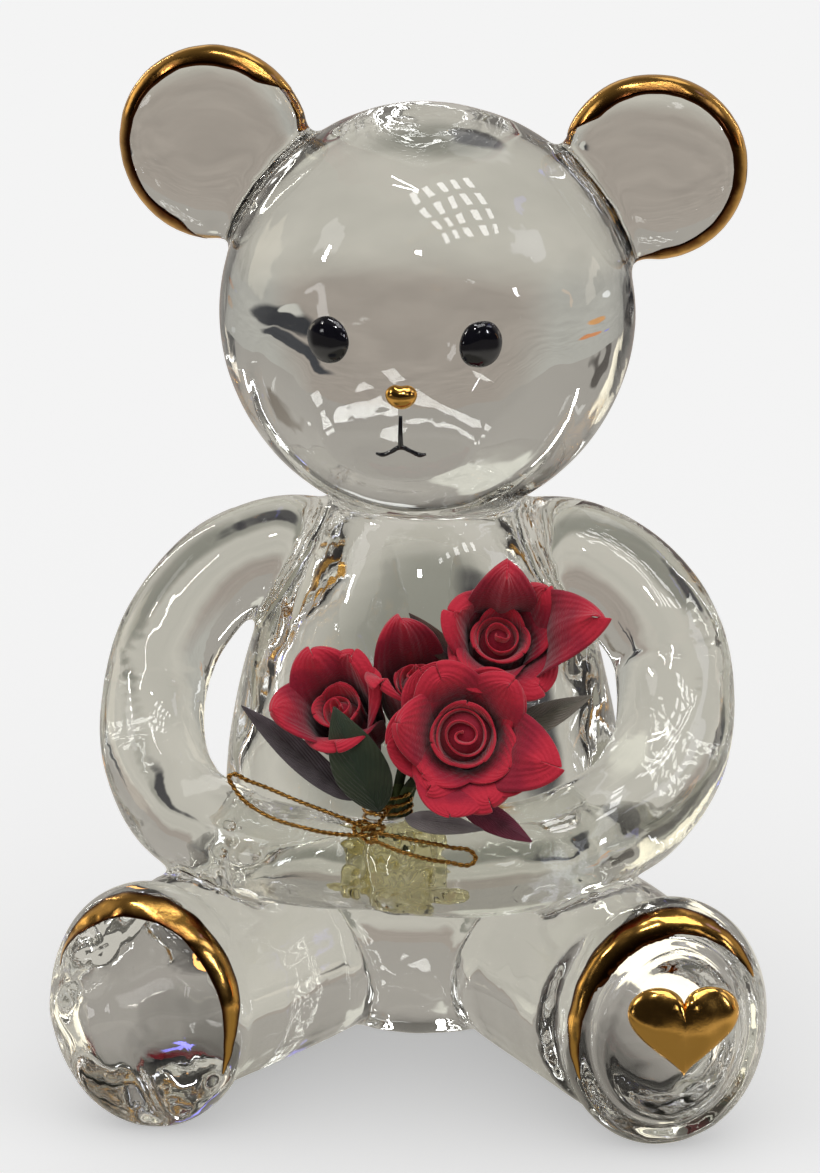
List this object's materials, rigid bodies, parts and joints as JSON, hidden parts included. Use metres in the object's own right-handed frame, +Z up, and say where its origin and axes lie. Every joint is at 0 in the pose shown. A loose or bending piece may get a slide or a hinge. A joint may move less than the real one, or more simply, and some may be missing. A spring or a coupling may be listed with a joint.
{
  "type": "glass teddy bear figurine",
  "caption": "Seated clear glass teddy bear with gold-edged ears and feet, arms closed round a small bouquet of red fabric roses tied with a gold bow.",
  "frame": {"origin": "centre of the flat seat under the torso, on the plane that the bear sits on", "axes": "+Z up; the bear looks along -Y; +X is the bear's own left"},
  "size_m": [0.0448, 0.039, 0.0645],
  "materials": {
    "clear_glass": "fire-polished, clear, very slightly grey lampworking glass",
    "gold_lustre": "bright fired gold lustre with soft, hand-brushed edges",
    "black_enamel": "glossy black enamel dots and brush strokes",
    "red_petals": "stiffened matt crimson petals with darker folds",
    "green_foliage": "stiffened matt green leaves and wrapped wire stems",
    "gold_thread": "twisted metallic gold thread",
    "clear_glue": "clear, slightly yellow set glue"
  },
  "bodies": {
    "root": {"torso": "clear_glass", "head": "clear_glass", "muzzle": "clear_glass", "ear_right": "clear_glass", "ear_left": "clear_glass", "arm_right": "clear_glass", "arm_left": "clear_glass", "leg_right": "clear_glass", "leg_left": "clear_glass", "foot_right": "clear_glass", "foot_left": "clear_glass", "ear_lustre_right": "gold_lustre", "ear_lustre_left": "gold_lustre", "foot_lustre_right": "gold_lustre", "foot_lustre_left": "gold_lustre", "heart": "gold_lustre", "nose": "gold_lustre", "eye_right": "black_enamel", "eye_left": "black_enamel", "mouth": "black_enamel", "rose_front": "red_petals", "rose_top": "red_petals", "rose_side": "red_petals", "rose_bud": "red_petals", "stem_front": "green_foliage", "stem_top": "green_foliage", "stem_side": "green_foliage", "stem_bud": "green_foliage", "leaf_front": "green_foliage", "leaf_long": "green_foliage", "leaf_right": "green_foliage", "leaf_lower": "green_foliage", "leaf_grey": "green_foliage", "leaf_tip": "green_foliage", "bow_binding": "gold_thread", "bow_loop_right": "gold_thread", "bow_loop_left": "gold_thread", "glue_drop": "clear_glue"}
  },
  "joints": []
}
